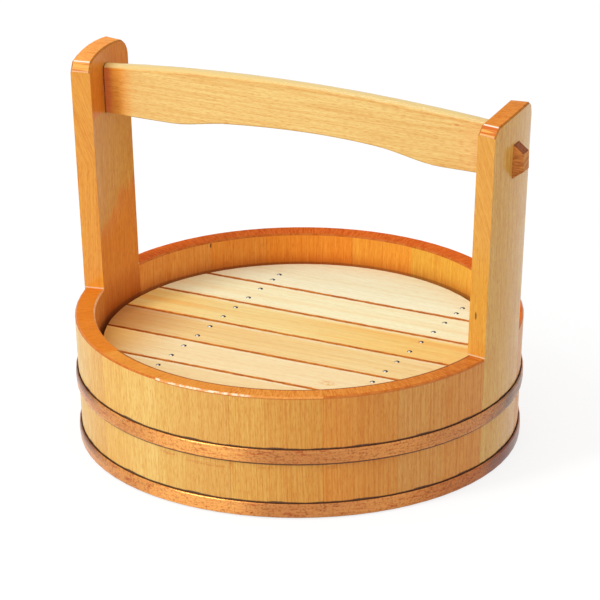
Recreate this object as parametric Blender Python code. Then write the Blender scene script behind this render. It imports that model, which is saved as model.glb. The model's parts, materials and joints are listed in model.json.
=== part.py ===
"""Wooden serving tub with a fixed bar handle and a loose slatted drainboard.

Metres, +Z up. The origin is the centre of the foot, and +X runs along the handle.
The wall is a ring of staves that leans outward a little; two opposite staves stand up as
the handle's uprights, and a bar with through tenons joins them.
"""
import math

import bmesh
import bpy

# Tub wall
RIM_OUTER_RADIUS = 0.1639
RIM_HEIGHT = 0.0948
WALL = 0.0147
SPLAY_ANGLE = math.radians(2.405)
EDGE_EASE = 0.0012
STAVE_GAP = 0.0003
SWEEP_STEP = math.radians(5.0)

# Plain staves, as shares of the arc between the two handle staves
FRONT_STAVE_SHARES = (23.0, 22.4, 20.9, 20.8, 23.6, 19.4, 14.0, 14.1)
BACK_STAVE_SHARES = (24.1, 23.0, 23.1, 18.9, 25.3, 16.9, 14.8, 12.1)

# Handle staves
HANDLE_TOP = 0.2735
HANDLE_HALF_ANGLE = math.radians(10.9)
TOP_CROWN_RADIUS = 0.180
TOP_PEAK_SHIFT = 0.0070
TOP_CHAMFER = 0.0056
TOP_CROWN_STEPS = 6

# Handle bar
BAR_THICKNESS = 0.0100
BAR_TOP_DROP = 0.0033
BAR_TOP_RADIUS = 1.515
BAR_TOP_SHIFT = 0.008
BAR_END_DROP = 0.0494
BAR_GRIP_RISE = 0.0095
BAR_GRIP_CROWN = 0.0026
BAR_GRIP_HALF_LENGTH = 0.060
BAR_GRIP_SHIFT = 0.004
BAR_GRIP_TILT = 0.018
BAR_STEP_LENGTH = 0.048
BAR_TOP_ROUND = 0.0042
BAR_BOTTOM_ROUND = 0.0020
BAR_STATIONS = 40
ROUND_STEPS = 3

# Through tenons of the bar
TENON_HEIGHT = 0.0252
TENON_FOOT = 0.0006
TENON_CHEEK = 0.0002
TENON_PROUD = 0.0080
TENON_NOSE_TOP = 0.0056
TENON_NOSE_BOTTOM = 0.0060
TENON_ROUND = 0.0008
FIT_GAP = 0.0003

# Hoops
HOOP_HEIGHT = 0.0110
HOOP_THICKNESS = 0.0015
HOOP_CROWN = 0.0003
HOOP_EDGE = 0.0008
UPPER_HOOP_BOTTOM = 0.0430
LOWER_HOOP_BOTTOM = 0.0008
HOOP_SEGMENTS = 72

# Bottom boards, held in a groove around the inside of the wall
BOTTOM_UNDERSIDE = 0.0320
BOTTOM_THICKNESS = 0.0120
GROOVE_DEPTH = 0.0040
BOTTOM_EDGE_GAP = 0.0005
BOTTOM_BOARD_SPLIT = 0.050
DOWEL_RADIUS = 0.0020
DOWEL_LENGTH = 0.0240
DOWEL_SPACING = 0.120
DOWEL_SIDES = 12

# Loose drainboard
BOARD_CLEARANCE = 0.0042
BOARD_TURN = math.radians(-0.96)
OUTER_SLAT_WIDTH = 0.0621
SLAT_GAP = 0.0020
SLAT_THICKNESS = 0.0078
INNER_SLATS = 4
BATTEN_HEIGHT = 0.0197
BATTEN_WIDTH = 0.0160
BATTEN_END_MARGIN = 0.0056
BATTEN_LEFT_INSET = 0.0754
BATTEN_RIGHT_INSET = 0.0594

# Nails, two through each slat into each batten
NAIL_SPREAD = 0.0098
OUTER_NAIL_INSET = 0.0096
OUTER_NAIL_SPACING = 0.0112
NAIL_HEAD_RADIUS = 0.0017
NAIL_HEAD_THICKNESS = 0.0012
NAIL_CROWN_RADIUS = 0.0009
NAIL_DOME = 0.0004
NAIL_SHANK_RADIUS = 0.0008
NAIL_LENGTH = 0.0200
NAIL_TIP = 0.0016
NAIL_PROUD = 0.0005
NAIL_SIDES = 8


def outer_radius(z):
    """Outer radius of the leaning wall, or of a handle stave, at a height."""
    return RIM_OUTER_RADIUS + math.tan(SPLAY_ANGLE) * (z - RIM_HEIGHT)


def inner_radius(z):
    """Inner radius of the leaning wall, or of a handle stave, at a height."""
    return outer_radius(z) - WALL


# Worked out from the sizes above
BAR_END_BOTTOM = HANDLE_TOP - BAR_END_DROP
BOTTOM_TOP = BOTTOM_UNDERSIDE + BOTTOM_THICKNESS
GROOVE_RADIUS = inner_radius(BOTTOM_TOP) + GROOVE_DEPTH
BOTTOM_RADIUS = GROOVE_RADIUS * math.cos(SWEEP_STEP / 2) - BOTTOM_EDGE_GAP
BOARD_FLOOR = BOTTOM_TOP + FIT_GAP
SLAT_UNDERSIDE = BATTEN_HEIGHT + FIT_GAP
SLAT_TOP = SLAT_UNDERSIDE + SLAT_THICKNESS
BOARD_RADIUS = inner_radius(BOARD_FLOOR + SLAT_UNDERSIDE) - BOARD_CLEARANCE
OUTER_JOINT_Y = BOARD_RADIUS - OUTER_SLAT_WIDTH
SLAT_PITCH = 2 * OUTER_JOINT_Y / INNER_SLATS
OUTER_NAIL_Y = OUTER_JOINT_Y + OUTER_NAIL_INSET + OUTER_NAIL_SPACING
BATTEN_HALF_LENGTH = OUTER_NAIL_Y + BATTEN_END_MARGIN
BATTEN_LEFT_X = BATTEN_LEFT_INSET - BOARD_RADIUS
BATTEN_RIGHT_X = BOARD_RADIUS - BATTEN_RIGHT_INSET


def clear_scene():
    """Empty the file of the objects that it starts with."""
    for item in list(bpy.data.objects):
        bpy.data.objects.remove(item, do_unlink=True)


def make_material(name, colour, roughness, metallic=0.0):
    """A plain Principled BSDF material."""
    material = bpy.data.materials.new(name)
    material.use_nodes = True
    shader = material.node_tree.nodes["Principled BSDF"]
    shader.inputs["Base Color"].default_value = (*colour, 1.0)
    shader.inputs["Roughness"].default_value = roughness
    shader.inputs["Metallic"].default_value = metallic
    return material


def make_empty(name, location=(0.0, 0.0, 0.0), turn=0.0):
    """A parent that carries one body's pieces."""
    empty = bpy.data.objects.new(name, None)
    empty.location = location
    empty.rotation_euler = (0.0, 0.0, turn)
    bpy.context.scene.collection.objects.link(empty)
    return empty


def make_piece(name, shape, material, parent, smooth_angle=None):
    """Turn a closed bmesh into a named object."""
    bmesh.ops.recalc_face_normals(shape, faces=shape.faces)
    mesh = bpy.data.meshes.new(name)
    shape.to_mesh(mesh)
    shape.free()
    if smooth_angle is not None:
        mesh.shade_smooth()
        mesh.set_sharp_from_angle(angle=smooth_angle)
    piece = bpy.data.objects.new(name, mesh)
    if material is not None:
        mesh.materials.append(material)
    piece.parent = parent
    bpy.context.scene.collection.objects.link(piece)
    return piece


def make_cutter(name, shape, parent):
    """A hidden solid that only cuts other pieces."""
    cutter = make_piece(name, shape, None, parent)
    cutter.hide_render = True
    cutter.display_type = "WIRE"
    return cutter


def cut(piece, cutter):
    """Take the cutter's solid out of a piece."""
    modifier = piece.modifiers.new(cutter.name, "BOOLEAN")
    modifier.operation = "DIFFERENCE"
    modifier.object = cutter


def add_loft(shape, loops):
    """Skin equal loops of points in order, and close both ends."""
    rings = [[shape.verts.new(point) for point in loop] for loop in loops]
    count = len(rings[0])
    for near, far in zip(rings, rings[1:]):
        for i in range(count):
            j = (i + 1) % count
            shape.faces.new((near[i], near[j], far[j], far[i]))
    shape.faces.new(rings[0])
    shape.faces.new(rings[-1])


def add_prism(shape, outline, bottom, top):
    """An upright prism over a flat outline."""
    add_loft(shape, [[(x, y, z) for x, y in outline] for z in (bottom, top)])


def ring_points(radius, z, sides, centre=(0.0, 0.0)):
    """Points of a level circle."""
    turns = [2 * math.pi * i / sides for i in range(sides)]
    return [(centre[0] + radius * math.cos(t), centre[1] + radius * math.sin(t), z) for t in turns]


def spaced(first, last, largest):
    """Even values from first to last, no further apart than the largest step."""
    count = max(2, math.ceil(abs(last - first) / largest))
    return [first + (last - first) * i / count for i in range(count + 1)]


def wall_section(top):
    """Section of a stave as radius and height, with its eased edges and bottom groove."""
    return [
        (inner_radius(0.0), 0.0),
        (outer_radius(0.0) - EDGE_EASE, 0.0),
        (outer_radius(EDGE_EASE), EDGE_EASE),
        (outer_radius(top - EDGE_EASE), top - EDGE_EASE),
        (outer_radius(top) - EDGE_EASE, top),
        (inner_radius(top) + EDGE_EASE, top),
        (inner_radius(top - EDGE_EASE), top - EDGE_EASE),
        (inner_radius(BOTTOM_TOP + FIT_GAP), BOTTOM_TOP + FIT_GAP),
        (GROOVE_RADIUS, BOTTOM_TOP + FIT_GAP),
        (GROOVE_RADIUS, BOTTOM_UNDERSIDE - FIT_GAP),
        (inner_radius(BOTTOM_UNDERSIDE - FIT_GAP), BOTTOM_UNDERSIDE - FIT_GAP),
    ]


def make_stave(name, angles, tops, material, parent):
    """Sweep the wall section through the angles, each with its own top height."""
    shape = bmesh.new()
    loops = []
    for angle, top in zip(angles, tops):
        c, s = math.cos(angle), math.sin(angle)
        loops.append([(r * c, r * s, z) for r, z in wall_section(top)])
    add_loft(shape, loops)
    return make_piece(name, shape, material, parent, math.radians(20))


def make_plain_staves(side, start, shares, materials, parent):
    """A run of plain staves between the two handle staves."""
    joint = STAVE_GAP / (2 * RIM_OUTER_RADIUS)
    arc = math.pi - 2 * HANDLE_HALF_ANGLE
    first = start + HANDLE_HALF_ANGLE
    for i, share in enumerate(shares):
        last = first + arc * share / sum(shares)
        angles = spaced(first + joint, last - joint, SWEEP_STEP)
        material = materials[i % len(materials)]
        make_stave(f"stave_{side}_{i + 1}", angles, [RIM_HEIGHT] * len(angles), material, parent)
        first = last


def handle_top_stations(side):
    """Angle from the middle of a handle stave, and its top's height there. The peak is towards the back."""
    joint = STAVE_GAP / (2 * RIM_OUTER_RADIUS)
    half_width = (HANDLE_HALF_ANGLE - joint) * outer_radius(HANDLE_TOP)
    corner = half_width - TOP_CHAMFER
    middle = [corner * (2 * i / TOP_CROWN_STEPS - 1) for i in range(TOP_CROWN_STEPS + 1)]
    stations = []
    for place in [-half_width] + middle + [half_width]:
        corner_drop = max(0.0, abs(place) - corner)
        from_peak = place - side * TOP_PEAK_SHIFT
        crown_drop = TOP_CROWN_RADIUS - math.sqrt(TOP_CROWN_RADIUS**2 - from_peak**2)
        stations.append((place / outer_radius(HANDLE_TOP), HANDLE_TOP - crown_drop - corner_drop))
    return stations


def tenon_bottom():
    """Height of the underside of the tenons."""
    return BAR_END_BOTTOM + TENON_FOOT


def make_handle_staves(material, parent):
    """The two tall staves, each with the mortise that a tenon goes through."""
    half_width = BAR_THICKNESS / 2 - TENON_CHEEK + FIT_GAP
    low = tenon_bottom() - FIT_GAP
    high = tenon_bottom() + TENON_HEIGHT + FIT_GAP
    reach = outer_radius(HANDLE_TOP) + WALL
    shape = bmesh.new()
    outline = [(-reach, -half_width), (reach, -half_width), (reach, half_width), (-reach, half_width)]
    add_prism(shape, outline, low, high)
    mortises = make_cutter("mortise_cutter", shape, parent)
    for name, middle, side in (("handle_stave_right", 0.0, 1), ("handle_stave_left", math.pi, -1)):
        stations = handle_top_stations(side)
        angles = [middle + angle for angle, top in stations]
        tops = [top for angle, top in stations]
        stave = make_stave(name, angles, tops, material, parent)
        cut(stave, mortises)


def rounded_loop(half_y, low, high, low_round, high_round):
    """An upright rounded rectangle, as points of Y and Z."""
    corners = (
        (half_y, high, high_round, 0.0),
        (-half_y, high, high_round, 0.5),
        (-half_y, low, low_round, 1.0),
        (half_y, low, low_round, 1.5),
    )
    loop = []
    for y, z, radius, start in corners:
        centre_y = y - math.copysign(radius, y)
        centre_z = z - radius if z == high else z + radius
        for i in range(ROUND_STEPS + 1):
            turn = math.pi * (start + 0.5 * i / ROUND_STEPS)
            loop.append((centre_y + radius * math.cos(turn), centre_z + radius * math.sin(turn)))
    return loop


def bar_top(x):
    """Height of the bar's arched top."""
    middle = HANDLE_TOP - BAR_TOP_DROP
    return middle - (BAR_TOP_RADIUS - math.sqrt(BAR_TOP_RADIUS**2 - (x - BAR_TOP_SHIFT)**2))


def bar_bottom(x):
    """Height of the bar's underside: level ends, an S curve, and a hollowed grip that rises to the right."""
    place = x - BAR_GRIP_SHIFT
    reach = abs(place)
    inside = max(0.0, 1 - (place / (BAR_GRIP_HALF_LENGTH + BAR_STEP_LENGTH))**2)
    foot = BAR_END_BOTTOM + BAR_GRIP_TILT * place * inside
    crown = BAR_GRIP_CROWN / BAR_GRIP_HALF_LENGTH**2
    if reach <= BAR_GRIP_HALF_LENGTH:
        return foot + BAR_GRIP_RISE - crown * reach**2
    along = min(1.0, (reach - BAR_GRIP_HALF_LENGTH) / BAR_STEP_LENGTH)
    start_rise = BAR_GRIP_RISE - BAR_GRIP_CROWN
    start_slope = -2 * crown * BAR_GRIP_HALF_LENGTH * BAR_STEP_LENGTH
    hold = 2 * along**3 - 3 * along**2 + 1
    lean = along**3 - 2 * along**2 + along
    return foot + hold * start_rise + lean * start_slope


def bar_reach(z):
    """Distance from the middle to the bar's shoulder, which lies along the leaning upright."""
    return inner_radius(z) * math.cos(BAR_THICKNESS / (2 * RIM_OUTER_RADIUS)) - FIT_GAP


def bar_loops():
    """Loops of the bar from its left shoulder to its right one."""
    loops = []
    for i in range(BAR_STATIONS + 1):
        share = 2 * i / BAR_STATIONS - 1
        x = share * bar_reach(BAR_END_BOTTOM)
        section = rounded_loop(BAR_THICKNESS / 2, bar_bottom(x), bar_top(x), BAR_BOTTOM_ROUND, BAR_TOP_ROUND)
        loops.append([(share * bar_reach(z), y, z) for y, z in section])
    return loops


def tenon_loops(side):
    """Loops of one tenon from its root at the shoulder to its sloping nose."""
    half_y = BAR_THICKNESS / 2 - TENON_CHEEK
    low = tenon_bottom()
    high = low + TENON_HEIGHT
    body = rounded_loop(half_y, low, high, TENON_ROUND, TENON_ROUND)
    nose = rounded_loop(half_y, low + TENON_NOSE_BOTTOM, high - TENON_NOSE_TOP, TENON_ROUND, TENON_ROUND)
    tip = outer_radius((low + high) / 2) + TENON_PROUD
    return [
        [(side * bar_reach(z), y, z) for y, z in body],
        [(side * (outer_radius(z) + FIT_GAP), y, z) for y, z in body],
        [(side * tip, y, z) for y, z in nose],
    ]


def make_bar(material, parent):
    """The handle bar in one piece with its two tenons."""
    shape = bmesh.new()
    add_loft(shape, tenon_loops(-1)[::-1] + bar_loops() + tenon_loops(1))
    make_piece("handle_bar", shape, material, parent, math.radians(35))


def make_hoop(name, bottom, material, parent):
    """A band with eased edges and a slight crown, tight around the wall."""
    top = bottom + HOOP_HEIGHT
    section = (
        (0.0, bottom),
        (HOOP_THICKNESS - HOOP_EDGE, bottom),
        (HOOP_THICKNESS, bottom + HOOP_EDGE),
        (HOOP_THICKNESS + HOOP_CROWN, (bottom + top) / 2),
        (HOOP_THICKNESS, top - HOOP_EDGE),
        (HOOP_THICKNESS - HOOP_EDGE, top),
        (0.0, top),
    )
    shape = bmesh.new()
    rings = [[shape.verts.new(p) for p in ring_points(outer_radius(z) + FIT_GAP + out, z, HOOP_SEGMENTS)]
             for out, z in section]
    for near, far in zip(rings, rings[1:] + rings[:1]):
        for i in range(HOOP_SEGMENTS):
            j = (i + 1) % HOOP_SEGMENTS
            shape.faces.new((near[i], near[j], far[j], far[i]))
    make_piece(name, shape, material, parent, math.radians(30))


def disc_strip(radius, low, high):
    """Outline of the part of a disc between two levels of Y."""
    first = math.asin(max(-1.0, low / radius))
    last = math.asin(min(1.0, high / radius))
    right = spaced(first, last, SWEEP_STEP)
    left = [math.pi - turn for turn in reversed(right)]
    if high >= radius:
        left = left[1:]
    if low <= -radius:
        left = left[:-1]
    return [(radius * math.cos(t), radius * math.sin(t)) for t in right + left]


def add_dowel(shape, x, y, radius, length):
    """A round pin that lies along Y across a joint."""
    z = BOTTOM_UNDERSIDE + BOTTOM_THICKNESS / 2
    rings = []
    for end in (-length / 2, length / 2):
        circle = ring_points(radius, 0.0, DOWEL_SIDES)
        rings.append([(x + across, y + end, z + up) for across, up, level in circle])
    add_loft(shape, rings)


def make_bottom(board_material, dowel_material, parent):
    """Three bottom boards, edge to edge, with two hidden dowels across each joint."""
    places = [(x, y) for y in (-BOTTOM_BOARD_SPLIT, BOTTOM_BOARD_SPLIT)
              for x in (-DOWEL_SPACING / 2, DOWEL_SPACING / 2)]
    holes = bmesh.new()
    for i, (x, y) in enumerate(places):
        add_dowel(holes, x, y, DOWEL_RADIUS + FIT_GAP, DOWEL_LENGTH + 2 * FIT_GAP)
        shape = bmesh.new()
        add_dowel(shape, x, y, DOWEL_RADIUS, DOWEL_LENGTH)
        make_piece(f"bottom_dowel_{i + 1}", shape, dowel_material, parent, math.radians(40))
    cutter = make_cutter("dowel_hole_cutter", holes, parent)
    edge = BOTTOM_BOARD_SPLIT
    half = STAVE_GAP / 2
    spans = (
        ("front", -BOTTOM_RADIUS, -edge - half),
        ("middle", -edge + half, edge - half),
        ("back", edge + half, BOTTOM_RADIUS),
    )
    for name, low, high in spans:
        shape = bmesh.new()
        add_prism(shape, disc_strip(BOTTOM_RADIUS, low, high), BOTTOM_UNDERSIDE, BOTTOM_TOP)
        board = make_piece(f"bottom_board_{name}", shape, board_material, parent)
        cut(board, cutter)


def nail_rows():
    """Y of every nail in one batten, from the back of the drainboard to its front."""
    outer = [OUTER_NAIL_Y, OUTER_NAIL_Y - OUTER_NAIL_SPACING]
    rows = list(outer)
    for i in range(INNER_SLATS):
        centre = SLAT_PITCH * ((INNER_SLATS - 1) / 2 - i)
        rows += [centre + NAIL_SPREAD, centre - NAIL_SPREAD]
    return rows + [-y for y in reversed(outer)]


def add_nail(shape, x, y, room, rise):
    """A nail with a low domed head, or its hole where it has room around it."""
    head_top = SLAT_TOP + rise
    head_bottom = SLAT_TOP + NAIL_PROUD - NAIL_HEAD_THICKNESS - room
    tip = SLAT_TOP + NAIL_PROUD - NAIL_LENGTH - room
    rings = (
        (NAIL_CROWN_RADIUS + room, head_top),
        (NAIL_HEAD_RADIUS + room, head_top - NAIL_DOME),
        (NAIL_HEAD_RADIUS + room, head_bottom),
        (NAIL_SHANK_RADIUS + room, head_bottom),
        (NAIL_SHANK_RADIUS + room, tip + NAIL_TIP),
        ((NAIL_SHANK_RADIUS + room) / 2, tip),
    )
    add_loft(shape, [ring_points(radius, z, NAIL_SIDES, (x, y)) for radius, z in rings])


def make_nails(material, parent):
    """All nails, and the cutter of their holes."""
    holes = bmesh.new()
    for side, x in (("left", BATTEN_LEFT_X), ("right", BATTEN_RIGHT_X)):
        for i, y in enumerate(nail_rows()):
            add_nail(holes, x, y, FIT_GAP, NAIL_HEAD_THICKNESS)
            shape = bmesh.new()
            add_nail(shape, x, y, 0.0, NAIL_PROUD)
            make_piece(f"nail_{side}_{i + 1}", shape, material, parent, math.radians(40))
    return make_cutter("nail_hole_cutter", holes, parent)


def make_slats(materials, nail_holes, parent):
    """Slats along the handle: straight ones in the middle, a round segment at each side."""
    joints = [SLAT_PITCH * (INNER_SLATS / 2 - i) for i in range(INNER_SLATS + 1)]
    edges = [BOARD_RADIUS] + joints + [-BOARD_RADIUS]
    for i, (back, front) in enumerate(zip(edges, edges[1:])):
        high = back if back == BOARD_RADIUS else back - SLAT_GAP / 2
        low = front if front == -BOARD_RADIUS else front + SLAT_GAP / 2
        shape = bmesh.new()
        add_prism(shape, disc_strip(BOARD_RADIUS, low, high), SLAT_UNDERSIDE, SLAT_TOP)
        slat = make_piece(f"slat_{i + 1}", shape, materials[i % len(materials)], parent)
        cut(slat, nail_holes)


def make_battens(material, nail_holes, parent):
    """Two battens across the slats, which also stand the drainboard on the bottom boards."""
    half_width = BATTEN_WIDTH / 2
    for name, x in (("batten_left", BATTEN_LEFT_X), ("batten_right", BATTEN_RIGHT_X)):
        corners = ((-1, -1), (1, -1), (1, 1), (-1, 1))
        outline = [(x + a * half_width, b * BATTEN_HALF_LENGTH) for a, b in corners]
        shape = bmesh.new()
        add_prism(shape, outline, 0.0, BATTEN_HEIGHT)
        batten = make_piece(name, shape, material, parent)
        cut(batten, nail_holes)


def make_tub():
    """The fixed tub: wall, handle, hoops and bottom."""
    tub = make_empty("tub")
    amber = make_material("stave_amber", (0.66, 0.36, 0.12), 0.42)
    straw = make_material("stave_straw", (0.70, 0.43, 0.18), 0.42)
    tan = make_material("stave_tan", (0.60, 0.33, 0.12), 0.42)
    handle_wood = make_material("handle_wood", (0.70, 0.38, 0.12), 0.40)
    bar_wood = make_material("bar_wood", (0.80, 0.52, 0.20), 0.38)
    copper = make_material("copper_hoop", (0.48, 0.24, 0.13), 0.38, 1.0)
    bottom_wood = make_material("bottom_wood", (0.72, 0.48, 0.24), 0.50)
    bamboo = make_material("dowel_bamboo", (0.74, 0.60, 0.34), 0.50)
    make_plain_staves("back", 0.0, BACK_STAVE_SHARES, (amber, tan, straw), tub)
    make_plain_staves("front", math.pi, FRONT_STAVE_SHARES, (straw, amber, tan), tub)
    make_handle_staves(handle_wood, tub)
    make_bar(bar_wood, tub)
    make_hoop("hoop_upper", UPPER_HOOP_BOTTOM, copper, tub)
    make_hoop("hoop_lower", LOWER_HOOP_BOTTOM, copper, tub)
    make_bottom(bottom_wood, bamboo, tub)


def make_drainboard():
    """The loose drainboard, which lifts straight up from the bottom boards."""
    lift = make_empty("drainboard", (0.0, 0.0, BOARD_FLOOR), BOARD_TURN)
    cream = make_material("slat_cream", (0.86, 0.68, 0.40), 0.48)
    honey = make_material("slat_honey", (0.85, 0.64, 0.34), 0.48)
    batten_wood = make_material("batten_wood", (0.76, 0.54, 0.28), 0.50)
    steel = make_material("nail_steel", (0.50, 0.50, 0.50), 0.32, 1.0)
    nail_holes = make_nails(steel, lift)
    make_slats((cream, honey), nail_holes, lift)
    make_battens(batten_wood, nail_holes, lift)


clear_scene()
make_tub()
make_drainboard()
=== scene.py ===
"""Looks of the wooden serving tub: finer meshes, wood, copper and steel, light and camera.

Metres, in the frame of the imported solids. Places in the materials are in millimetres.
"""

import json
import math

import bmesh
import bpy
from mathutils import Matrix, Vector

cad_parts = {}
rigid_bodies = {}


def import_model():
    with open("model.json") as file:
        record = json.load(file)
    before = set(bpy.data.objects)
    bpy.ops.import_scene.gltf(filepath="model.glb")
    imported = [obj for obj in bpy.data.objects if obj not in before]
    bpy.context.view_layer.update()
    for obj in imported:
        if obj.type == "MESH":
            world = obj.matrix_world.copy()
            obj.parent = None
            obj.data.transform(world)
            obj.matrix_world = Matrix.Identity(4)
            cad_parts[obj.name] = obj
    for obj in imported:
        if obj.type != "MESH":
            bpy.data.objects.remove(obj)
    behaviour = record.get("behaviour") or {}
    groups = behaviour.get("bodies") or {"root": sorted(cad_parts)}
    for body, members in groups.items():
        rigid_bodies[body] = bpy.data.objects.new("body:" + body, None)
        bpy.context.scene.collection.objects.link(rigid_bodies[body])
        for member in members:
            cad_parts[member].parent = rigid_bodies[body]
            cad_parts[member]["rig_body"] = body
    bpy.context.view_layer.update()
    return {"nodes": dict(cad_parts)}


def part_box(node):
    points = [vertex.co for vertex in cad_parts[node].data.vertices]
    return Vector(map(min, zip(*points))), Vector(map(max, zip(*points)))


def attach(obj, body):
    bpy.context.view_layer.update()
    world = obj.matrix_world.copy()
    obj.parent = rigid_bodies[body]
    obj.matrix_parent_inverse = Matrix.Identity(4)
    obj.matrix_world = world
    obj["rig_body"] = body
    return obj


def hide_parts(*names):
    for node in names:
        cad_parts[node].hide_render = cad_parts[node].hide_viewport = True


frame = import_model()
MM = 1000.0

# Camera, fitted to the photograph's rim, foot, slats and uprights
CAMERA_AZIMUTH = math.radians(25.79)
CAMERA_ELEVATION = math.radians(22.26)
CAMERA_ROLL = math.radians(-0.303)
CAMERA_DISTANCE = 3.352
CAMERA_TARGET = Vector((0.0003, 0.0006, 0.1011))
CAMERA_LENS = 275.5
CAMERA_CLIP_END = 50.0
SENSOR_WIDTH = 36.0

# Key lamp: its bearing about the tub's axis, its height angle, distance, size and power
KEY_BEARING = math.radians(-121)
KEY_ELEVATION = math.radians(38)
KEY_DISTANCE = 2.5
KEY_WIDTH = 0.5
KEY_HEIGHT = 1.9
KEY_POWER = 32.0
LIT_POINT = Vector((0.0, 0.0, 0.10))

# White surround: the sky's strength, and the floor's half width, colours and glow
WHITE = (1.0, 1.0, 1.0)
SKY_STRENGTH = 0.74
FLOOR_HALF = 6.0
FLOOR_BOUNCE = (0.40, 0.40, 0.40)
FLOOR_SHOWN = (0.24, 0.24, 0.24)
FLOOR_GLOW = 0.80

# Finishing of the meshes: joined points and faces, eased and smoothed edges, and seams between staves
MERGE_DISTANCE = 1e-6
FLAT_ANGLE = math.radians(0.6)
SHARP_ANGLE = math.radians(24)
SMOOTH_ANGLE = math.radians(42)
STAVE_SEAM = 0.00004
CAD_SEAM = 0.0003

# Width and segments of each piece's eased edges
STAVE_EASE = (0.00018, 2)
HANDLE_EASE = (0.0006, 3)
BAR_EASE = (0.0004, 2)
HOOP_EASE = (0.0003, 2)
SLAT_EASE = (0.0006, 3)
BATTEN_EASE = (0.0006, 2)
BOTTOM_EASE = (0.0003, 2)

# Rounding of the back chamfers on the uprights' tops, and what their edges are known by
REAR_EASE = (0.0036, 4)
REAR_ANGLE = math.radians(14)
REAR_DROP = 0.03
REAR_START = 0.012
REAR_SKEW_Y = 0.003
REAR_SKEW_Z = 0.002

# Nails: radius of the shank, rise of the dome, height of the head, sides, and steps over the dome
NAIL_SHANK = 0.0008
NAIL_DOME = 0.0006
NAIL_HEAD = 0.0012
NAIL_SIDES = 24
NAIL_STEPS = 6

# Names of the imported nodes
FRONT_STAVES = [f"stave_front_{i}" for i in range(1, 9)]
BACK_STAVES = [f"stave_back_{i}" for i in range(1, 9)]
HANDLE_STAVES = ["handle_stave_left", "handle_stave_right"]
SLATS = [f"slat_{i}" for i in range(1, 7)]
BATTENS = ["batten_left", "batten_right"]
HOOPS = ["hoop_upper", "hoop_lower"]
BOTTOM_BOARDS = [f"bottom_board_{place}" for place in ("front", "middle", "back")]
DOWELS = [f"bottom_dowel_{i}" for i in range(1, 5)]
NAILS = [name for name in frame["nodes"] if name.startswith("nail_")]

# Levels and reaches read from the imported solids, in millimetres
RIM_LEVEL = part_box("stave_front_1")[1][2] * MM
HANDLE_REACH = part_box("handle_stave_right")[1][0] * MM
HANDLE_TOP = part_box("handle_stave_right")[1][2] * MM
BOARD_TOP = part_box("slat_1")[1][2] * MM
HOOP_SPANS = [(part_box(name)[0][2] * MM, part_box(name)[1][2] * MM) for name in HOOPS]

# A radius in the wall for arc lengths, the rim's lip, the wall's thickness and its lean
WALL_RADIUS = 160.0
LIP_RADIUS = 150.4
WALL_THICKNESS = 14.7
WALL_LEAN = math.tan(math.radians(2.405))

# Arc from an upright's middle at which its side begins and is whole
UPRIGHT_SIDE = (29.0, 29.6)

# Places on the bar, its noses and the drainboard, and how far away a gap that isn't there is put
BAR_SHOULDER = HANDLE_REACH - WALL_THICKNESS
BAR_MIDDLE = 248.0
BAR_SCRATCH = (126.6, 258.3)
NOSE_DEPTH = 12.0
NOSE_RINGS = (6.0, 218.0)
BOARD_TURN = math.radians(-0.96)
NO_GAP = 20.0

# Painted sheen inside the uprights, a reflection of the white surround: its lower limit's height, slope and
# raggedness, and its upper limit
SHEEN_LEVEL = 150.0
SHEEN_SLOPE = -0.52
SHEEN_RAGGED = 52.0
SHEEN_TOP = (229.0, 225.0)

# Faint rubbed marks under the upper hoop: bearings of both ends in degrees, and the height
SCUFFS = ((-102.2, -96.8, 39.0), (-94.0, -82.8, 37.0), (-75.1, -70.5, 39.0), (-58.0, -54.2, 39.5))
SCUFF_HALF_HEIGHT = 1.3
SCUFF_REACH = 16.0

# Slots of a stave's faces, and the least area of a chamfer on the uprights' tops
OUTER, INNER, END, EDGE, LIP, SIDE, CHAMFER = range(7)
CHAMFER_AREA = 2e-5

# Slots of the bar's and a hoop's faces
BAR, NOSE, NOSE_SHADED_SLOPE = range(3)
BAND, LEDGE = range(2)

# Shares of a face's normal, up, sideways or outward, that tell the faces apart
STAVE_END_UP = 0.93
HANDLE_END_UP = 0.90
LEDGE_UP = 0.85
NOSE_SLOPE_UP = 0.30
EASED_UP = 0.20
CHAMFER_UP = 0.15
CHAMFER_SIDEWAYS = 0.10
FLANK_OUTWARD = 0.70
INSIDE_OUTWARD = -0.30

# Bands, lines, fibres and specks of the grain: their mean shares, their tints and their depths
FIELD_MEANS = (0.50, 0.38, 0.52, 0.34)
FIELD_TINTS = ((0.95, 0.87, 0.76), (0.88, 0.70, 0.52), (0.88, 0.70, 0.52), (0.86, 0.68, 0.52))
RING_PITCHES = 2.6
PLAIN_GRAIN = (0.35, 0.30, 0.65, 0.80)
LINED_GRAIN = (0.35, 0.90, 0.70, 0.80)
INSIDE_GRAIN = (0.30, 0.60, 0.70, 0.60)
BAR_GRAIN = (0.20, 0.20, 0.80, 0.85)
BOARD_GRAIN = (0.50, 0.45, 0.35, 0.30)

# First seed of each kind of piece's grain, and the step from one piece to the next
STAVE_SEEDS = (1.0, 2.7)
HANDLE_SEEDS = (7.3, 9.1)
BAR_SEED = 5.5
HOOP_SEEDS = (4.0, 7.0)
SLAT_SEEDS = (0.7, 3.3)
BATTEN_SEEDS = (41.0, 6.0)
BOTTOM_SEEDS = (57.0, 8.0)
DOWEL_SEED = 90.0

# Depth of the fine relief along fibres, on rubbed edges and steel, and on end grain and copper
FIBRE_RELIEF = 0.00012
FINE_RELIEF = 0.0001
COARSE_RELIEF = 0.0002
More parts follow.
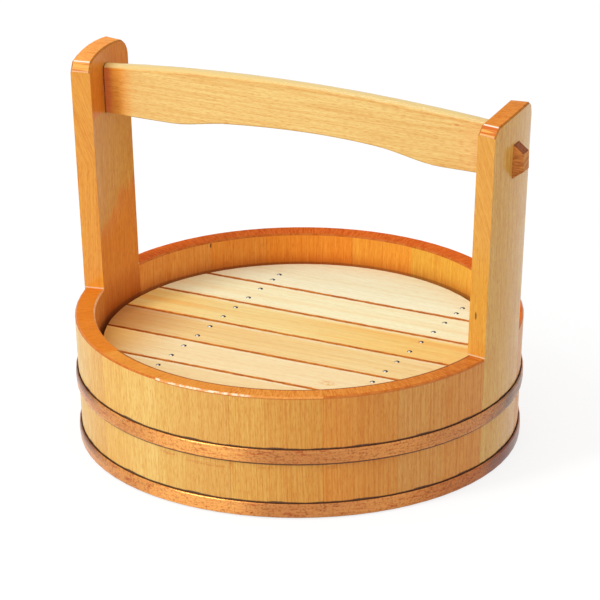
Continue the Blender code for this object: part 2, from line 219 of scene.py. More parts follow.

# Colours of the marks on the staves and the handle
# Grime with painted shade, for the lines along the hoops
GRIME_AND_SHADE = (0.055, 0.018, 0.014)
SCUFF_RED = (0.66, 0.17, 0.02)
# Painted shade under the rim's outer edge
RIM_SHADE_LINE = (0.62, 0.16, 0.020)
# Dirt and painted shade along the rim's lip
LIP_DIRT_AND_SHADE = (0.20, 0.05, 0.025)
# Painted shadow line where the inside of the wall meets the slats
SLAT_SHADE_LINE = (0.24, 0.06, 0.020)
SPLIT_DARK = (0.09, 0.024, 0.012)
KNOT_DARK = (0.16, 0.05, 0.02)
# Painted highlight on the lacquer line at the uprights' feet
FOOT_HIGHLIGHT = (0.95, 0.72, 0.48)
# Painted highlight along the chamfers' rubbed edges
CHAMFER_HIGHLIGHT = (0.98, 0.86, 0.70)
# Painted sheen on the bar's top
BAR_TOP_SHEEN = (0.79, 0.57, 0.21)
JOINT_DARK = (0.11, 0.025, 0.012)
SCRATCH_RED = (0.70, 0.20, 0.05)

# Colours of the marks on the slats, the hoops and the nails
# Painted highlight along the slats' back edges
SLAT_EDGE_HIGHLIGHT = (0.99, 0.89, 0.62)
SLAT_SPOT = (0.80, 0.38, 0.09)
GAP_PALE, GAP_DARK = (0.76, 0.26, 0.018), (0.60, 0.16, 0.012)
# Painted shadow along a hoop's lower edge
COPPER_FOOT_SHADE = (0.10, 0.03, 0.015)
COPPER_GREY = (0.10, 0.070, 0.060)
# Grime and painted shade on the hoops' upper ledges
LEDGE_GRIME_AND_SHADE, LEDGE_PALE = (0.04, 0.014, 0.010), (0.12, 0.045, 0.025)
# Nail steel's black scale, and the painted highlight at the front of its heads
STEEL_SCALE, STEEL_PAINTED_HIGHLIGHT = (0.012, 0.010, 0.010), (0.86, 0.85, 0.83)

# Tones of the metal and of the wood that is the same on several pieces
COPPER_TONE = (0.66, 0.245, 0.058)
BATTEN_TONE = (0.82, 0.55, 0.24)
BOTTOM_TONE = (0.84, 0.54, 0.22)
BAMBOO_TONE = (0.78, 0.62, 0.32)


class Graph:
    """A short way to write a material's nodes."""

    def __init__(self, name):
        self.material = bpy.data.materials.new(name)
        self.material.use_nodes = True
        self.nodes = self.material.node_tree.nodes
        self.links = self.material.node_tree.links
        self.shader = self.nodes["Principled BSDF"]

    def put(self, socket, value):
        """Link a socket, or set a colour or a plain value."""
        if isinstance(value, bpy.types.NodeSocket):
            self.links.new(value, socket)
        elif socket.type == "RGBA":
            socket.default_value = (*value, 1.0)
        else:
            socket.default_value = value

    def math(self, operation, a, b=0.0, c=0.0):
        node = self.nodes.new("ShaderNodeMath")
        node.operation = operation
        for socket, value in zip(node.inputs, (a, b, c)):
            self.put(socket, value)
        return node.outputs[0]

    def plus(self, a, b):
        return self.math("ADD", a, b)

    def minus(self, a, b):
        return self.math("SUBTRACT", a, b)

    def times(self, a, b):
        return self.math("MULTIPLY", a, b)

    def scaled(self, a, factor, offset):
        return self.math("MULTIPLY_ADD", a, factor, offset)

    def length(self, a, b):
        return self.math("SQRT", self.plus(self.times(a, a), self.times(b, b)))

    def vector(self, x, y, z):
        node = self.nodes.new("ShaderNodeCombineXYZ")
        for socket, value in zip(node.inputs, (x, y, z)):
            self.put(socket, value)
        return node.outputs[0]

    def noise(self, vector, scale=1.0, detail=2.0, roughness=0.5):
        node = self.nodes.new("ShaderNodeTexNoise")
        self.put(node.inputs["Vector"], vector)
        self.put(node.inputs["Scale"], scale)
        self.put(node.inputs["Detail"], detail)
        self.put(node.inputs["Roughness"], roughness)
        return node.outputs["Fac"]

    def span(self, value, low, high, to_low=0.0, to_high=1.0):
        """A smooth step of a value between two limits."""
        node = self.nodes.new("ShaderNodeMapRange")
        node.interpolation_type = "SMOOTHSTEP"
        for socket, entry in zip(node.inputs, (value, low, high, to_low, to_high)):
            self.put(socket, entry)
        return node.outputs[0]

    def mix(self, factor, a, b, blend="MIX"):
        node = self.nodes.new("ShaderNodeMix")
        node.data_type = "RGBA"
        node.blend_type = blend
        for socket, value in zip((node.inputs[0], node.inputs[6], node.inputs[7]), (factor, a, b)):
            self.put(socket, value)
        return node.outputs[2]

    def shade(self, factor, colour, tint):
        """A colour, multiplied by a tint as far as the factor says."""
        return self.mix(factor, colour, tint, "MULTIPLY")

    def paint(self, mask, share, colour, cover):
        """A colour, covered by another as far as a mask times a share says."""
        return self.mix(self.times(mask, share), colour, cover)

    def axes(self, turn=0.0):
        """X, Y and Z of a point, in the piece's own rest frame, turned about Z, in millimetres."""
        source = self.nodes.new("ShaderNodeTexCoord")
        mapping = self.nodes.new("ShaderNodeMapping")
        mapping.inputs["Rotation"].default_value = (0.0, 0.0, -turn)
        mapping.inputs["Scale"].default_value = (MM, MM, MM)
        self.links.new(source.outputs["Object"], mapping.inputs["Vector"])
        split = self.nodes.new("ShaderNodeSeparateXYZ")
        self.links.new(mapping.outputs[0], split.inputs[0])
        return split.outputs

    def source(self, output):
        """X, Y and Z of one of the texture coordinates."""
        source = self.nodes.new("ShaderNodeTexCoord")
        split = self.nodes.new("ShaderNodeSeparateXYZ")
        self.links.new(source.outputs[output], split.inputs[0])
        return split.outputs

    def facing_up(self):
        """How far the surface faces up or down, from 0 to 1."""
        _, _, up = self.source("Normal")
        return self.math("ABSOLUTE", up)

    def blot(self, values, places, sizes):
        """1 inside a soft blot, from its middle and its half sizes."""
        total = 0.0
        for value, place, size in zip(values, places, sizes):
            part = self.times(self.minus(value, place), 1.0 / size)
            total = self.plus(total, self.times(part, part))
        return self.span(total, 1.4, 0.4)

    def bump(self, height, strength, distance):
        node = self.nodes.new("ShaderNodeBump")
        self.put(node.inputs["Height"], height)
        node.inputs["Strength"].default_value = strength
        node.inputs["Distance"].default_value = distance
        self.links.new(node.outputs[0], self.shader.inputs["Normal"])

    def finish(self, colour, roughness, specular=0.5, metallic=0.0):
        self.put(self.shader.inputs["Base Color"], colour)
        self.put(self.shader.inputs["Roughness"], roughness)
        self.shader.inputs["Specular IOR Level"].default_value = specular
        self.shader.inputs["Metallic"].default_value = metallic
        return self.material


def tint(colour, *factors):
    """A colour with each channel times a factor."""
    return [min(1.0, value * factor) for value, factor in zip(colour, factors)]


def marked(graph, tone, marks):
    """A mean tone darkened by marks. Each has a field from 0 to 1, a depth, the field's mean and a tint."""
    base = list(tone)
    for _, depth, mean, dark in marks:
        base = [value / (1 - depth * mean * (1 - share)) for value, share in zip(base, dark)]
    colour = [min(1.0, value) for value in base]
    for field, depth, _, dark in marks:
        colour = graph.shade(graph.times(field, depth), colour, dark)
    return colour


def grain(graph, across, depth, along, seed, pitch, lean=0.35, bend=6.0):
    """Fields of a board's grain, each from 0 to 1: broad bands, late-wood lines, fibres and specks."""
    slow = (graph.times(across, 0.03), graph.times(depth, 0.03), graph.scaled(along, 0.005, seed))
    wander = graph.times(graph.minus(graph.noise(graph.vector(*slow)), 0.5), bend)
    place = graph.plus(graph.plus(graph.scaled(depth, lean, across), wander), 13.0 * seed)
    broad = graph.vector(graph.times(place, 0.16 / pitch), 0.0, graph.times(along, 0.002))
    bands = graph.span(graph.noise(broad, 1.0, 1.0), 0.32, 0.68)
    uneven = graph.vector(graph.times(place, 1.0 / pitch), 3.1, graph.times(along, 0.0016))
    waves = graph.math("SINE", graph.times(place, 2 * math.pi / (RING_PITCHES * pitch)))
    rings = graph.times(graph.span(waves, 0.65, 0.97), 0.7)
    lines = graph.math("MAXIMUM", graph.span(graph.noise(uneven), 0.50, 0.68), rings)
    fine = graph.vector(graph.times(place, 0.95), graph.times(depth, 0.95), graph.times(along, 0.02))
    fibres = graph.span(graph.noise(fine, 1.0, 3.0, 0.70), 0.36, 0.64)
    dots = graph.vector(graph.times(place, 1.60), graph.times(depth, 1.60), graph.scaled(along, 0.20, seed))
    specks = graph.span(graph.noise(dots), 0.45, 0.70)
    return bands, lines, fibres, specks


def wood_colour(graph, fields, tone, depths):
    """Colour of wood around a mean tone, with the depths of its bands, lines, fibres and specks."""
    return marked(graph, tone, list(zip(fields, depths, FIELD_MEANS, FIELD_TINTS)))


def fibre_bump(graph, fields, strength):
    """Fine relief along the grain."""
    _, lines, fibres, specks = fields
    graph.bump(graph.minus(fibres, graph.plus(lines, specks)), strength, FIBRE_RELIEF)


def fibre_gloss(graph, fields, smooth, rough):
    """Roughness that follows the fibres."""
    _, _, fibres, _ = fields
    return graph.span(fibres, 0.0, 1.0, smooth, rough)


def stave_axes(graph, middle):
    """Arc length from a stave's middle, depth in the wall and height, in millimetres."""
    x, y, z = graph.axes(middle)
    arc = graph.times(graph.math("ARCTAN2", y, x), WALL_RADIUS)
    depth = graph.minus(graph.length(x, y), WALL_RADIUS)
    return arc, depth, z


def around_wall(graph, x, y, radius):
    """A point moved along its radius to the wall: its X and Y there."""
    return [graph.times(graph.math("DIVIDE", value, radius), WALL_RADIUS) for value in (x, y)]


def hoop_grime_and_shade(graph, colour, arc, height):
    """Dark lines on the wall just above and below the hoops: grime, with painted shade where the hoops
    stand off the wall.
    """
    uneven = graph.noise(graph.vector(graph.times(arc, 0.05), 1.7, 0.0))
    for low, high in HOOP_SPANS:
        reach = graph.span(uneven, 0.3, 0.75, high + 1.0, high + 2.2)
        above = graph.span(height, reach, graph.minus(reach, 0.5))
        below = graph.span(height, low - 1.5, low - 0.8)
        colour = graph.paint(graph.times(above, below), 0.9, colour, GRIME_AND_SHADE)
    return colour


def scuffed(graph, colour, arc, height, middle):
    """Faint rubbed marks under the upper hoop, where they lie on this stave."""
    for first, last, level in SCUFFS:
        start, end = (math.degrees(wrap(math.radians(bearing) - middle)) for bearing in (first, last))
        if max(abs(start), abs(end)) > SCUFF_REACH:
            continue
        arc_per_degree = math.radians(1.0) * WALL_RADIUS
        centre = (start + end) / 2 * arc_per_degree
        half = (end - start) / 2 * arc_per_degree
        ragged = graph.noise(graph.vector(graph.times(arc, 0.5), height, 0.0))
        spot = graph.blot((arc, height), (centre, level), (half, SCUFF_HALF_HEIGHT))
        mask = graph.times(spot, graph.span(ragged, 0.35, 0.6))
        colour = graph.paint(mask, 0.5, colour, SCUFF_RED)
    return colour


def stave_material(name, span, seed, tones, depths, rim_shade_line):
    """Lacquered outside of a stave, with straight vertical grain and a tone at its left and its right."""
    graph = Graph(name)
    middle, half = span
    arc, depth, height = stave_axes(graph, middle)
    fields = grain(graph, arc, depth, height, seed, 1.4)
    left, right = tones
    colour = wood_colour(graph, fields, left, depths)
    reach = half * WALL_RADIUS
    turn = graph.span(arc, -reach, reach)
    colour = graph.shade(turn, colour, [b / a for a, b in zip(left, right)])
    colour = scuffed(graph, colour, arc, height, middle)
    colour = hoop_grime_and_shade(graph, colour, arc, height)
    if rim_shade_line:
        # Painted shade line under the rim's eased edge
        line = graph.span(height, RIM_LEVEL - 2.2, RIM_LEVEL - 1.7)
        colour = graph.paint(line, 0.7, colour, RIM_SHADE_LINE)
    fibre_bump(graph, fields, 0.10)
    return graph.finish(colour, fibre_gloss(graph, fields, 0.30, 0.42), specular=0.4)


def shade_near_slats(graph, colour, height):
    """Wood inside the tub, painted darker towards the slats as shade, and darkest along them as a painted
    shadow line.
    """
    colour = graph.shade(graph.span(height, BOARD_TOP + 11.9, BOARD_TOP - 1.1), colour, (0.86, 0.70, 0.66))
    # Painted shadow line along the slats
    line = graph.span(height, BOARD_TOP + 0.7, BOARD_TOP - 0.3)
    return graph.paint(line, 0.5, colour, SLAT_SHADE_LINE)


def inner_material(name, middle, seed, tone, chip=None):
    """Duller inside of a stave. A chip is a small dark split: its arc and height."""
    graph = Graph(name)
    arc, depth, height = stave_axes(graph, middle)
    fields = grain(graph, arc, depth, height, seed, 1.5)
    colour = shade_near_slats(graph, wood_colour(graph, fields, tone, INSIDE_GRAIN), height)
    if chip:
        split = graph.blot((arc, height), chip, (0.7, 1.9))
        colour = graph.paint(split, 0.9, colour, SPLIT_DARK)
    fibre_bump(graph, fields, 0.12)
    return graph.finish(colour, fibre_gloss(graph, fields, 0.42, 0.56), specular=0.10)


def end_grain_material(name, tone, line_depth=0.75, lip_dirt_and_shade=False):
    """End grain with fine radial lines, dark pores and, if asked for, a dark line of dirt and painted shade
    along the rim's lip.
    """
    graph = Graph(name)
    x, y, z = graph.axes()
    radius = graph.length(x, y)
    across = around_wall(graph, x, y, radius)
    broad = graph.noise(graph.vector(*across, graph.times(radius, 0.06)), 0.07, 2.0)
    lines = graph.noise(graph.vector(*across, graph.times(radius, 0.10)), 1.2, 2.0, 0.6)
    pores = graph.noise(graph.vector(x, y, z), 0.75, 2.0)
    colour = marked(graph, tone, [
        (graph.span(broad, 0.3, 0.7), 0.5, 0.5, (0.94, 0.84, 0.78)),
        (graph.span(lines, 0.45, 0.60), line_depth, 0.5, (0.78, 0.58, 0.45)),
        (graph.span(pores, 0.60, 0.74), 0.6, 0.1, (0.55, 0.38, 0.33)),
    ])
    if lip_dirt_and_shade:
        line = graph.span(radius, LIP_RADIUS + 1.6, LIP_RADIUS + 1.0)
        colour = graph.paint(line, 0.7, colour, LIP_DIRT_AND_SHADE)
    graph.bump(lines, 0.12, COARSE_RELIEF)
    return graph.finish(colour, graph.span(lines, 0.3, 0.7, 0.5, 0.66), specular=0.03)


def edge_material(name, tone, worn, wear_and_highlight, specular=0.6, reach=None):
    """Eased edges: glossy lacquer over wood that is rubbed paler in places, wear together with a painted
    highlight, within a reach along X.
    """
    graph = Graph(name)
    x, y, z = graph.axes()
    rubbed = graph.noise(graph.vector(x, y, z), 0.16, 3.0, 0.7)
    fine = graph.noise(graph.vector(x, y, z), 0.9, 2.0)
    colour = graph.mix(graph.span(fine, 0.35, 0.65), tint(tone, 1.06, 1.1, 1.2), tint(tone, 0.9, 0.78, 0.7))
    paler = graph.times(graph.span(rubbed, 0.42, 0.54), wear_and_highlight)
    if reach:
        first, last = reach
        soft = 3.0
        after = graph.span(x, first - soft, first + soft)
        before = graph.span(x, last + soft, last - soft)
        paler = graph.times(paler, graph.times(after, before))
    # Wear and painted highlight on the edge
    colour = graph.mix(paler, colour, worn)
    graph.bump(fine, 0.15, FINE_RELIEF)
    return graph.finish(colour, graph.span(rubbed, 0.3, 0.7, 0.30, 0.18), specular=specular)


def painted_sheen(graph, colour, arc, height):
    """A painted sheen, greyish like a reflection of the white surround, above a ragged slanting line."""
    place = graph.vector(graph.times(arc, 0.34), 0.7, graph.times(height, 0.03))
    ragged = graph.noise(place, 1.0, 4.0, 0.75)
    slanting = graph.scaled(arc, SHEEN_SLOPE, SHEEN_LEVEL)
    level = graph.scaled(graph.minus(ragged, 0.5), SHEEN_RAGGED, slanting)
    above = graph.span(graph.minus(height, level), -0.8, 1.0)
    under_bar = graph.span(height, *SHEEN_TOP)
    return graph.shade(graph.times(above, under_bar), colour, (0.94, 1.27, 1.55))


def chamfer_material(name, tone):
    """End grain of the chamfers on the uprights, striped across by the growth rings, with painted
    highlights along its rubbed upper and lower edges.
    """
    graph = Graph(name)
    x, _, z = graph.axes()
    rings = graph.noise(graph.vector(graph.times(x, 0.02), 0.3, graph.times(z, 0.62)), 1.0, 2.0, 0.6)
    pale, dark = tint(tone, 1.15, 1.6, 2.2), tint(tone, 0.88, 0.55, 0.40)
    colour = graph.mix(graph.span(rings, 0.43, 0.57), pale, dark)
    # Painted highlight lines along the upper and lower edges
    upper = graph.times(graph.span(z, HANDLE_TOP - 4.2, HANDLE_TOP - 3.8), 0.9)
    lower = graph.times(graph.span(z, HANDLE_TOP - 9.0, HANDLE_TOP - 9.5), 0.2)
    colour = graph.mix(graph.plus(upper, lower), colour, CHAMFER_HIGHLIGHT)
    graph.bump(rings, 0.12, COARSE_RELIEF)
    return graph.finish(colour, graph.span(rings, 0.3, 0.7, 0.36, 0.50), specular=0.15)


def handle_material(name, middle, seed, tone, depths, gloss=(0.16, 0.26, 0.42),
                    slant=None, knot=None, inside=False):
    """Lacquer on a handle stave, with a pale lacquer line where it rises from the rim, brightened by a
    painted highlight.

    A slant is the height above which the grain runs out, and its slope there.
    A knot is a small dark one: its arc, depth and height.
    """
    graph = Graph(name)
    arc, depth, height = stave_axes(graph, middle)
    course = depth
    if slant:
        start, slope = slant
        course = graph.scaled(graph.math("MAXIMUM", graph.minus(height, start), 0.0), slope, depth)
    fields = grain(graph, arc, course, height, seed, 2.8, lean=0.9, bend=9.0)
    colour = wood_colour(graph, fields, tone, depths)
    # Painted highlight on the lacquer line at the foot
    foot = graph.times(graph.span(height, RIM_LEVEL + 0.1, RIM_LEVEL + 0.4),
                       graph.span(height, RIM_LEVEL + 1.5, RIM_LEVEL + 1.0))
    side = graph.span(graph.math("ABSOLUTE", arc), *UPRIGHT_SIDE)
    colour = graph.paint(graph.times(foot, side), 0.8, colour, FOOT_HIGHLIGHT)
    if knot:
        spot = graph.blot((arc, depth, height), knot, (3.0, 0.9, 3.2))
        colour = graph.paint(spot, 0.8, colour, KNOT_DARK)
    if inside:
        # Painted sheen on the upper inside of the upright
        colour = painted_sheen(graph, colour, arc, height)
        # Painted shade on the inside of the upright, deepening below the rim's level
        shaded_below_rim = graph.span(height, RIM_LEVEL + 8.0, RIM_LEVEL - 14.0)
        colour = graph.shade(shaded_below_rim, colour, (0.80, 0.66, 0.70))
        colour = shade_near_slats(graph, colour, height)
    colour = hoop_grime_and_shade(graph, colour, arc, height)
    fibre_bump(graph, fields, 0.08)
    smooth, rough, specular = gloss
    return graph.finish(colour, fibre_gloss(graph, fields, smooth, rough), specular=specular)


def bar_top_sheen(graph, colour, up, top, y, z):
    """The bar's top is painted paler as a sheen, its back a little darker as painted shade, and a dark line
    runs below its front corner.
    """
    # Painted sheen on the top, painted shade towards its back
    colour = graph.mix(top, colour, BAR_TOP_SHEEN)
    colour = graph.shade(graph.times(top, graph.span(y, 0.2, 2.2)), colour, (0.93, 0.80, 0.70))
    corner = graph.times(graph.span(y, 0.0, -1.0), graph.span(z, BAR_MIDDLE - 2.0, BAR_MIDDLE + 2.0))
    line = graph.times(graph.span(up, 0.01, 0.05), graph.span(up, 0.20, 0.12))
    return graph.shade(graph.times(line, corner), colour, (0.93, 0.80, 0.66))


def bar_shoulder_shadow(graph, colour, top, x, z):
    """Painted shadow of the left upright on the bar's left shoulder, but not on its top, and a dark joint.
    """
    lean = graph.times(graph.minus(z, HANDLE_TOP), WALL_LEAN)
    from_shoulder = graph.plus(graph.plus(x, lean), BAR_SHOULDER)
    below_top = graph.span(top, 1.0, 0.2)
    # Painted shadow, deepening towards the upright
    for reach, share in (((27.0, 11.0), (1.0, 0.68, 0.33)), ((9.5, 3.0), (0.80, 0.56, 1.1))):
        colour = graph.shade(graph.times(graph.span(from_shoulder, *reach), below_top), colour, share)
    return graph.paint(graph.span(from_shoulder, 1.3, 0.5), 0.85, colour, JOINT_DARK)


def bar_material(name, seed, tone):
    """Fine lengthwise grain on the bar, smoother along its top, with a small scratch."""
    graph = Graph(name)
    x, y, z = graph.axes()
    fields = grain(graph, z, y, x, seed, 1.8, bend=4.0)
    up = graph.facing_up()
    top = graph.span(up, 0.40, 0.80)
    colour = wood_colour(graph, fields, tone, BAR_GRAIN)
    colour = bar_top_sheen(graph, colour, up, top, y, z)
    colour = bar_shoulder_shadow(graph, colour, top, x, z)
    scratch = graph.blot((x, z), BAR_SCRATCH, (2.0, 0.8))
    colour = graph.paint(scratch, 0.6, colour, SCRATCH_RED)
    fibre_bump(graph, fields, 0.10)
    worn = graph.times(graph.span(up, 0.10, 0.35), 0.14)
    return graph.finish(colour, graph.minus(fibre_gloss(graph, fields, 0.26, 0.36), worn), specular=0.5)


def nose_material(name, tone):
    """Brown end grain of the tenon noses, with growth rings."""
    graph = Graph(name)
    x, y, z = graph.axes()
    radius = graph.length(*(graph.minus(value, middle) for value, middle in zip((y, z), NOSE_RINGS)))
    rings = graph.noise(graph.vector(graph.times(radius, 0.8), 0.0, graph.times(x, 0.1)), 1.0, 2.0)
    pores = graph.noise(graph.vector(x, y, z), 0.9, 2.0)
    early, late = tint(tone, 1.2, 1.25, 1.3), tint(tone, 0.7, 0.6, 0.55)
    colour = graph.mix(graph.span(rings, 0.35, 0.65), early, late)
    colour = graph.mix(graph.times(graph.span(pores, 0.55, 0.75), 0.5), colour, tint(tone, 0.5, 0.4, 0.4))
    graph.bump(rings, 0.15, COARSE_RELIEF)
    return graph.finish(colour, graph.span(pores, 0.3, 0.7, 0.40, 0.55), specular=0.12)


def gap_stain(graph, colour, y, uneven, edges):
    """Brown stain along a slat's front and back gaps."""
    front, back = edges
    beside = graph.math("MINIMUM", graph.minus(y, front), graph.minus(back, y))
    limit = graph.span(uneven, 0.3, 0.7, 0.2, 1.0)
    side = graph.span(beside, graph.plus(limit, 0.4), limit)
    brown = graph.mix(graph.span(uneven, 0.4, 0.6), GAP_PALE, GAP_DARK)
    return graph.mix(graph.times(side, 0.95), colour, brown)


def slat_material(name, seed, tone, streak, streak_depth, depths, tilt, left, edges, stain=None):
    """Pale planed wood of a slat, with soft streaks, stained sides along the gaps and a painted highlight
    along the back edge.

    The tilt and left are what the colour is multiplied by towards the right and at the left end; the left
    is painted shade from the wall and the left upright.
    The edges are the front and back ones. A stain is the X and Y of a brown spot.
    """
    graph = Graph(name)
    x, y, z = graph.axes(BOARD_TURN)
    fields = grain(graph, y, z, x, seed, 3.2, bend=5.0)
    colour = wood_colour(graph, fields, tone, depths)
    soft = graph.noise(graph.vector(graph.times(x, 0.004), graph.times(y, 0.11), seed), 1.0, 2.0)
    colour = graph.paint(graph.span(soft, 0.42, 0.66), streak_depth, colour, streak)
    colour = graph.shade(graph.span(x, -40.0, 90.0), colour, tilt)
    uneven = graph.noise(graph.vector(graph.times(x, 0.12), y, seed), 1.0, 3.0, 0.6)
    back = edges[1]
    # Painted highlight along the back edge
    pale = graph.times(graph.span(y, back - 5.0, back - 2.4), graph.span(uneven, 0.3, 0.6))
    colour = graph.paint(pale, 0.6, colour, SLAT_EDGE_HIGHLIGHT)
    if stain:
        ragged = graph.noise(graph.vector(graph.times(x, 0.3), graph.times(y, 0.6), 0.0))
        spot = graph.times(graph.blot((x, y), stain, (7.0, 4.0)), graph.span(ragged, 0.38, 0.62))
        colour = graph.paint(spot, 0.7, colour, SLAT_SPOT)
    colour = gap_stain(graph, colour, y, uneven, edges)
    # Painted shade at the left end, next to the wall and the left upright
    colour = graph.shade(graph.span(x, -62.0, -134.0), colour, left)
    fibre_bump(graph, fields, 0.10)
    return graph.finish(colour, fibre_gloss(graph, fields, 0.46, 0.60), specular=0.15)


def board_material(name, seed, tone, along_x=True):
    """Plain planed wood of a hidden board, a batten or a dowel."""
    graph = Graph(name)
    x, y, z = graph.axes()
    along, across = (x, y) if along_x else (y, x)
    fields = grain(graph, across, z, along, seed, 3.0)
    colour = wood_colour(graph, fields, tone, BOARD_GRAIN)
    fibre_bump(graph, fields, 0.12)
    return graph.finish(colour, fibre_gloss(graph, fields, 0.50, 0.64), specular=0.2)


def sector(graph, bearing, starts, ends):
    """1 over a range of bearings in degrees, with a soft start and a soft end."""
    start = graph.span(bearing, *(math.radians(value) for value in starts))
    end = graph.span(bearing, *(math.radians(value) for value in reversed(ends)))
    return graph.times(start, end)


def drawn(graph, around, z, stretch, rise, detail, seed):
    """Noise drawn out along a hoop."""
    along = [graph.times(value, stretch) for value in around]
    return graph.noise(graph.vector(*along, graph.scaled(z, rise, seed)), 1.0, detail, 0.6)


def copper_material(name, seed, tone, right, end, low):
    """Dull drawn copper with lengthwise lines, reddish dashes and grey patches.

    A stretch at the front left is painted brighter, as a highlight. The stretch right of it, its right
    side, its end on the handle stave and the upper half at the far left are multiplied by darker colours of
    their own, as painted shade, and its lower edge has a painted shadow line.
    Low is the height of its lower edge.
    """
    graph = Graph(name)
    x, y, z = graph.axes()
    around = around_wall(graph, x, y, graph.length(x, y))
    lines = drawn(graph, around, z, 0.02, 1.1, 3.0, seed)
    dashes = drawn(graph, around, z, 0.12, 0.7, 2.0, seed)
    fine = graph.noise(graph.vector(x, y, z), 0.6, 2.0, 0.6)
    patches = graph.noise(graph.vector(x, y, graph.scaled(z, 1.0, seed)), 0.06, 2.0, 0.6)
    colour = marked(graph, tone, [
        (graph.span(lines, 0.34, 0.66), 0.7, 0.5, (0.82, 0.72, 0.66)),
        (graph.span(dashes, 0.54, 0.70), 0.9, 0.25, (0.76, 0.46, 0.40)),
        (graph.span(fine, 0.48, 0.66), 1.0, 0.35, (0.66, 0.60, 0.60)),
    ])
    bearing = graph.math("ARCTAN2", y, x)
    at_handle = sector(graph, bearing, (-14.0, 2.0), (10.0, 26.0))
    upper_half = graph.span(z, low + 4.0, low + 9.5)
    below_edge = graph.span(z, low + 10.4, low + 9.4)
    # Painted highlight and painted shade, by bearing round the hoop
    painted_highlight = graph.times(sector(graph, bearing, (-112.0, -98.0), (-84.0, -72.0)), below_edge)
    dark = graph.times(sector(graph, bearing, (-178.0, -158.0), (-138.0, -118.0)), upper_half)
    for zone, share in (
        (painted_highlight, (1.30, 1.42, 1.50)),
        (sector(graph, bearing, (-84.0, -70.0), (-58.0, -28.0)), (0.80, 0.76, 0.86)),
        (sector(graph, bearing, (-45.0, -22.0), (90.0, 170.0)), right),
        (at_handle, end),
        (dark, (0.34, 0.26, 0.22)),
    ):
        colour = graph.shade(zone, colour, share)
    # Painted shadow line along the lower edge
    foot = graph.span(graph.plus(z, graph.scaled(fine, 1.2, -0.6)), low + 1.0, low + 0.3)
    colour = graph.paint(foot, 0.35, colour, COPPER_FOOT_SHADE)
    grey = graph.times(at_handle, graph.span(patches, 0.42, 0.60))
    colour = graph.paint(grey, 0.5, colour, COPPER_GREY)
    graph.bump(graph.plus(lines, dashes), 0.2, COARSE_RELIEF)
    return graph.finish(colour, graph.span(lines, 0.3, 0.7, 0.22, 0.34), metallic=0.7)


def ledge_grime_and_shade_material(name):
    """Dark grime and painted shade on a hoop's upper ledge, where it stands off the wall."""
    graph = Graph(name)
    x, y, z = graph.axes()
    dirt = graph.noise(graph.vector(x, y, z), 0.25, 3.0, 0.6)
    colour = graph.mix(graph.span(dirt, 0.35, 0.65), LEDGE_GRIME_AND_SHADE, LEDGE_PALE)
    graph.bump(dirt, 0.2, COARSE_RELIEF)
    return graph.finish(colour, graph.span(dirt, 0.3, 0.7, 0.5, 0.7), specular=0.1)


def steel_material(name):
    """Nail steel: black scale over the head, with a painted highlight at its front."""
    graph = Graph(name)
    x, y, z = graph.axes()
    marks = graph.noise(graph.vector(x, y, z), 1.4, 3.0, 0.6)
    across, forward, _ = graph.source("Generated")
    beside = graph.math("ABSOLUTE", graph.minus(across, 0.5))
    front = graph.span(graph.scaled(graph.minus(marks, 0.5), 0.4, forward), 0.34, 0.22)
    # Painted highlight at the front of the head
    painted_highlight = graph.times(front, graph.span(beside, 0.34, 0.20))
    colour = graph.mix(painted_highlight, STEEL_SCALE, STEEL_PAINTED_HIGHLIGHT)
    graph.bump(marks, 0.15, FINE_RELIEF)
    return graph.finish(colour, graph.span(marks, 0.3, 0.7, 0.50, 0.64), specular=0.05)


def seed_of(seeds, i):
    """Seed of the grain of one of several pieces, from the first seed and the step."""
    first, step = seeds
    return first + step * i


def wrap(angle):
    """An angle from minus to plus half a turn."""
    return (angle + math.pi) % (2 * math.pi) - math.pi


def stave_span(points):
    """Angle of the middle of a stave about the tub's axis, and half of the angle that it takes up."""
    x = sum(p[0] / math.hypot(p[0], p[1]) for p in points)
    y = sum(p[1] / math.hypot(p[0], p[1]) for p in points)
    rough = math.atan2(y, x)
    turns = [wrap(math.atan2(p[1], p[0]) - rough) for p in points]
    return rough + (min(turns) + max(turns)) / 2, (max(turns) - min(turns)) / 2


def node_span(node):
    """Middle and half angle of a packed stave."""
    return stave_span([vertex.co for vertex in frame["nodes"][node].data.vertices])


def slat_edges(node):
    """A slat's front and back gaps across the turned board, in millimetres. Round sides have none."""
    across = Vector((-math.sin(BOARD_TURN), math.cos(BOARD_TURN), 0.0))
    places = [across.dot(vertex.co) * MM for vertex in frame["nodes"][node].data.vertices]
    front, back = min(places), max(places)
    if node == SLATS[0]:
        back += NO_GAP
    if node == SLATS[-1]:
        front -= NO_GAP
    return front, back


def widen_stave(shape, amount):
    """Turn a stave's sides outward until only a hairline seam is left."""
    middle, half = stave_span([vertex.co for vertex in shape.verts])
    turned = [wrap(math.atan2(v.co.y, v.co.x) - middle) for v in shape.verts]
    for vertex, turn in zip(shape.verts, turned):
        radius = math.hypot(vertex.co.x, vertex.co.y)
        angle = middle + turn * (1 + amount / (2 * half * radius))
        vertex.co.x = radius * math.cos(angle)
        vertex.co.y = radius * math.sin(angle)


def add_piece(node, shape, materials):
    """Put a finished shape in a node's place, on the node's body."""
    mesh = bpy.data.meshes.new(node)
    shape.to_mesh(mesh)
    shape.free()
    mesh.shade_smooth()
    mesh.set_sharp_from_angle(angle=SMOOTH_ANGLE)
    for material in materials:
        mesh.materials.append(material)
    piece = bpy.data.objects.new(f"{node}_fine", mesh)
    bpy.context.scene.collection.objects.link(piece)
    weighted = piece.modifiers.new("face_weighted_normals", "WEIGHTED_NORMAL")
    weighted.keep_sharp = True
    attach(piece, frame["nodes"][node]["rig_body"])
    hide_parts(node)


def is_sharp(edge):
    """Whether an edge is one to ease."""
    return edge.calc_face_angle(0.0) > SHARP_ANGLE


